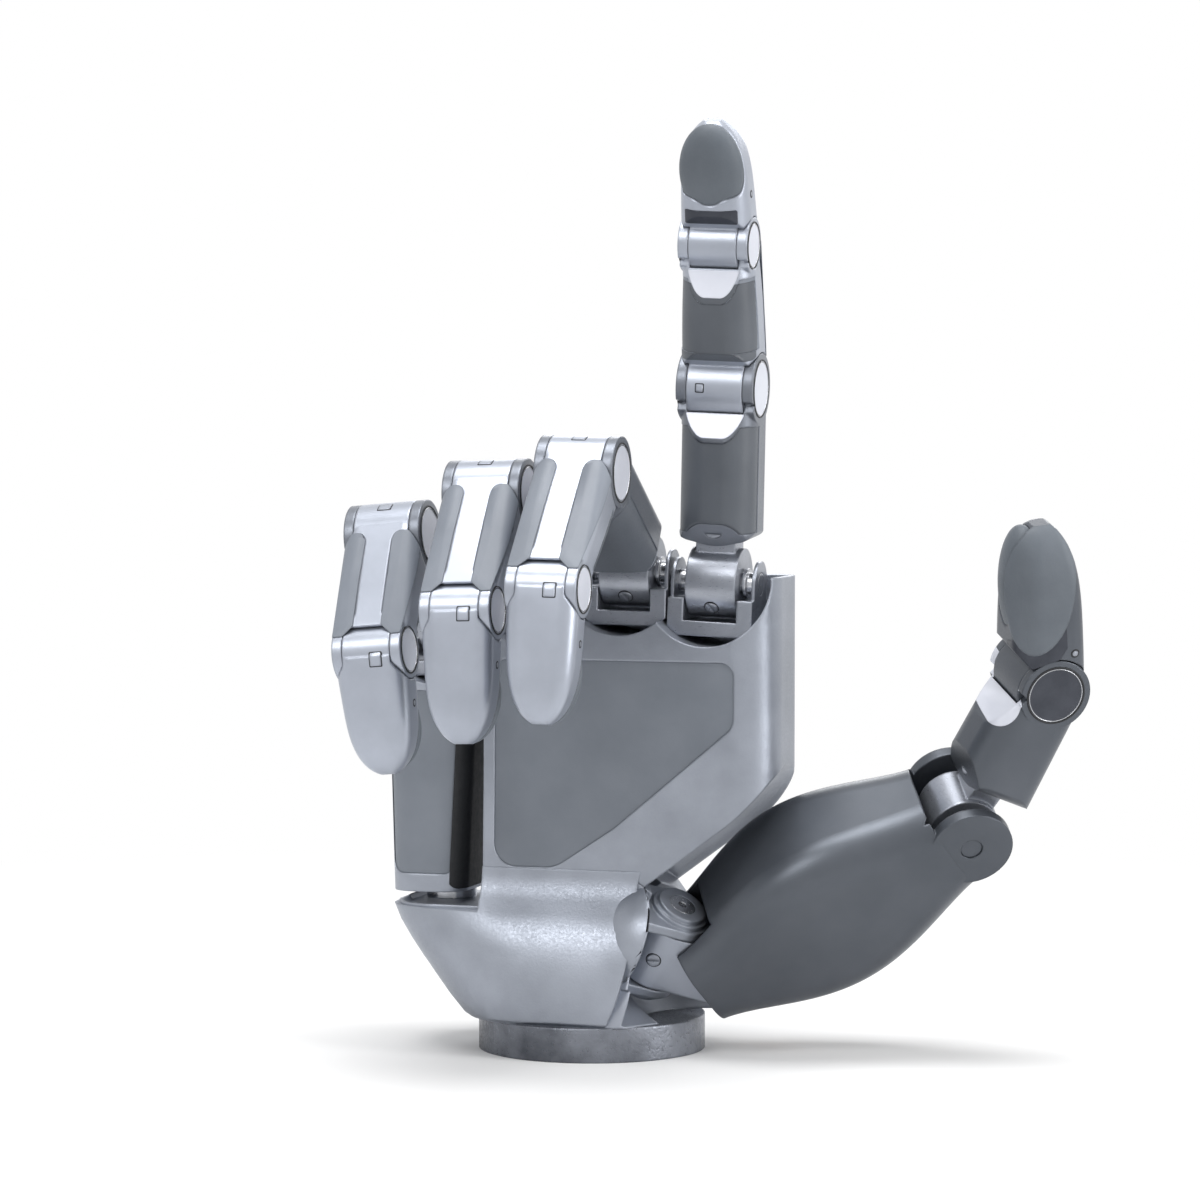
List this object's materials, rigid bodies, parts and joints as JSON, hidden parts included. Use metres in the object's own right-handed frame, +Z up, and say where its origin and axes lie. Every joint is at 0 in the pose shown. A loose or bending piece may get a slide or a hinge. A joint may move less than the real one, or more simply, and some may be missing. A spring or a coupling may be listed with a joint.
{
  "type": "dexterous robot hand",
  "caption": "Human-sized right robot hand with jointed metal fingers, an opposable thumb and a folding palm edge on a round wrist flange, shown pointing.",
  "frame": {"origin": "centre of the wrist flange's bottom face", "axes": "+Z up the hand from the wrist, -Y out of the palm, +X towards the thumb"},
  "size_m": [0.1557, 0.0958, 0.2023],
  "materials": {
    "cast_shell": "fine cast satin",
    "satin_shell": "satin",
    "block_metal": "machined satin",
    "steel_axle": "turned",
    "grey_panel": "matte",
    "soft_pad": "matte",
    "flex": "satin film"
  },
  "bodies": {
    "palm": {"wrist_flange": "cast_shell", "palm_shell": "cast_shell", "palm_pad": "grey_panel", "back_cover": "satin_shell", "cover_screws": "steel_axle", "knuckle_brackets": "block_metal", "knuckle_shafts": "steel_axle", "metacarpal_spindle": "steel_axle", "thumb_socket": "satin_shell", "thumb_root_shaft": "steel_axle"},
    "little_metacarpal": {"little_metacarpal_shell": "cast_shell", "little_metacarpal_pad": "grey_panel", "little_finger_bracket": "block_metal", "little_finger_shaft": "steel_axle"},
    "index_knuckle": {"index_knuckle": "block_metal"},
    "index_proximal": {"index_proximal_shell": "satin_shell", "index_proximal_panel": "grey_panel", "index_middle_axle": "steel_axle"},
    "index_middle": {"index_middle_shell": "satin_shell", "index_middle_panels": "grey_panel", "index_tip_axle": "steel_axle"},
    "index_tip": {"index_tip_shell": "satin_shell", "index_pad": "soft_pad"},
    "middle_knuckle": {"middle_knuckle": "block_metal"},
    "middle_proximal": {"middle_proximal_shell": "satin_shell", "middle_proximal_panel": "grey_panel", "middle_middle_axle": "steel_axle"},
    "middle_middle": {"middle_middle_shell": "satin_shell", "middle_middle_panels": "grey_panel", "middle_tip_axle": "steel_axle"},
    "middle_tip": {"middle_tip_shell": "satin_shell", "middle_pad": "soft_pad"},
    "ring_knuckle": {"ring_knuckle": "block_metal"},
    "ring_proximal": {"ring_proximal_shell": "satin_shell", "ring_proximal_panel": "grey_panel", "ring_middle_axle": "steel_axle"},
    "ring_middle": {"ring_middle_shell": "satin_shell", "ring_middle_panels": "grey_panel", "ring_tip_axle": "steel_axle"},
    "ring_tip": {"ring_tip_shell": "satin_shell", "ring_pad": "soft_pad"},
    "little_knuckle": {"little_knuckle": "block_metal"},
    "little_proximal": {"little_proximal_shell": "satin_shell", "little_proximal_panel": "grey_panel", "little_middle_axle": "steel_axle"},
    "little_middle": {"little_middle_shell": "satin_shell", "little_middle_panels": "grey_panel", "little_tip_axle": "steel_axle"},
    "little_tip": {"little_tip_shell": "satin_shell", "little_pad": "soft_pad"},
    "thumb_root": {"thumb_root_block": "block_metal"},
    "thumb_metacarpal": {"thumb_metacarpal": "cast_shell", "thumb_root_pin": "steel_axle", "thumb_middle_shaft": "steel_axle", "thumb_flex_ribbon": "flex"},
    "thumb_knuckle": {"thumb_middle_knuckle": "block_metal"},
    "thumb_proximal": {"thumb_proximal_shell": "satin_shell", "thumb_tip_axle": "steel_axle"},
    "thumb_tip": {"thumb_tip_shell": "satin_shell", "thumb_pad": "soft_pad"}
  },
  "joints": [
    {"name": "little_metacarpal_fold", "type": "hinge", "parent": "palm", "child": "little_metacarpal", "pos_m": [-0.033, 0.001, 0.0345], "axis": [0, 0, 1], "range_deg": [-5, 6]},
    {"name": "index_root_flexion", "type": "hinge", "parent": "palm", "child": "index_knuckle", "pos_m": [0.0295, -0.002, 0.1032], "axis": [0.999, 0, -0.0436], "range_deg": [-5, 80]},
    {"name": "index_swing", "type": "hinge", "parent": "index_knuckle", "child": "index_proximal", "pos_m": [0.03004, -0.00309, 0.11564], "axis": [0.0038, 0.9962, 0.0871], "range_deg": [-6, 8]},
    {"name": "index_middle_flexion", "type": "hinge", "parent": "index_proximal", "child": "index_middle", "pos_m": [0.03135, -0.0057, 0.1455], "axis": [0.999, 0, -0.0436], "range_deg": [-10, 80]},
    {"name": "index_tip_flexion", "type": "hinge", "parent": "index_middle", "child": "index_tip", "pos_m": [0.03267, -0.01386, 0.1759], "axis": [0.999, 0, -0.0436], "range_deg": [-5, 40]},
    {"name": "middle_root_flexion", "type": "hinge", "parent": "palm", "child": "middle_knuckle", "pos_m": [0.01, -0.002, 0.1054], "axis": [0.9998, 0, -0.0175], "range_deg": [-60, 25]},
    {"name": "middle_swing", "type": "hinge", "parent": "middle_knuckle", "child": "middle_proximal", "pos_m": [0.01011, -0.01282, 0.11165], "axis": [0.0151, 0.5, 0.8659], "range_deg": [-4, 8]},
    {"name": "middle_middle_flexion", "type": "hinge", "parent": "middle_proximal", "child": "middle_middle", "pos_m": [0.01039, -0.04054, 0.12765], "axis": [0.9998, 0, -0.0175], "range_deg": [-76, 14]},
    {"name": "middle_tip_flexion", "type": "hinge", "parent": "middle_middle", "child": "middle_tip", "pos_m": [0.00998, -0.06312, 0.10427], "axis": [0.9998, 0, -0.0175], "range_deg": [-38, 7]},
    {"name": "ring_root_flexion", "type": "hinge", "parent": "palm", "child": "ring_knuckle", "pos_m": [-0.0095, -0.002, 0.1026], "axis": [0.9994, 0, 0.0349], "range_deg": [-62, 23]},
    {"name": "ring_swing", "type": "hinge", "parent": "ring_knuckle", "child": "ring_proximal", "pos_m": [-0.00971, -0.01304, 0.10847], "axis": [-0.0308, 0.4695, 0.8824], "range_deg": [-8, 4]},
    {"name": "ring_middle_flexion", "type": "hinge", "parent": "ring_proximal", "child": "ring_middle", "pos_m": [-0.0102, -0.03952, 0.12254], "axis": [0.9994, 0, 0.0349], "range_deg": [-76, 14]},
    {"name": "ring_tip_flexion", "type": "hinge", "parent": "ring_middle", "child": "ring_tip", "pos_m": [-0.00938, -0.0606, 0.09915], "axis": [0.9994, 0, 0.0349], "range_deg": [-38, 7]},
    {"name": "little_root_flexion", "type": "hinge", "parent": "little_metacarpal", "child": "little_knuckle", "pos_m": [-0.032, -0.002, 0.094], "axis": [0.9962, 0, 0.0872], "range_deg": [-60, 25]},
    {"name": "little_swing", "type": "hinge", "parent": "little_knuckle", "child": "little_proximal", "pos_m": [-0.03254, -0.01282, 0.10023], "axis": [-0.0755, 0.5, 0.8627], "range_deg": [-8, 3]},
    {"name": "little_middle_flexion", "type": "hinge", "parent": "little_proximal", "child": "little_middle", "pos_m": [-0.03368, -0.03534, 0.11318], "axis": [0.9962, 0, 0.0872], "range_deg": [-84, 6]},
    {"name": "little_tip_flexion", "type": "hinge", "parent": "little_middle", "child": "little_tip", "pos_m": [-0.03163, -0.05239, 0.0898], "axis": [0.9962, 0, 0.0872], "range_deg": [-42, 3]},
    {"name": "thumb_root_turn", "type": "hinge", "parent": "palm", "child": "thumb_root", "pos_m": [0.018, -0.008, 0.0243], "axis": [0.5229, -0.2897, 0.8016], "range_deg": [-45, 5]},
    {"name": "thumb_root_flexion", "type": "hinge", "parent": "thumb_root", "child": "thumb_metacarpal", "pos_m": [0.02706, -0.00087, 0.02097], "axis": [0.3957, -0.7505, -0.5293], "range_deg": [-20, 5]},
    {"name": "thumb_middle_flexion", "type": "hinge", "parent": "thumb_metacarpal", "child": "thumb_knuckle", "pos_m": [0.08131, 0.00496, 0.05325], "axis": [0.3957, -0.7505, -0.5293], "range_deg": [-29, 30]},
    {"name": "thumb_middle_swing", "type": "hinge", "parent": "thumb_knuckle", "child": "thumb_proximal", "pos_m": [0.08865, 0.002, 0.06293], "axis": [0.7065, 0.617, -0.3467], "range_deg": [-3, 20]},
    {"name": "thumb_tip_flexion", "type": "hinge", "parent": "thumb_proximal", "child": "thumb_tip", "pos_m": [0.09963, 0.00088, 0.08333], "axis": [0.5259, -0.7855, -0.3263], "range_deg": [-30, 50]}
  ],
  "couplings": [
    {"joint": "index_tip_flexion", "follows": "index_middle_flexion", "ratio": 0.5},
    {"joint": "middle_tip_flexion", "follows": "middle_middle_flexion", "ratio": 0.5},
    {"joint": "ring_tip_flexion", "follows": "ring_middle_flexion", "ratio": 0.5},
    {"joint": "little_tip_flexion", "follows": "little_middle_flexion", "ratio": 0.5}
  ]
}
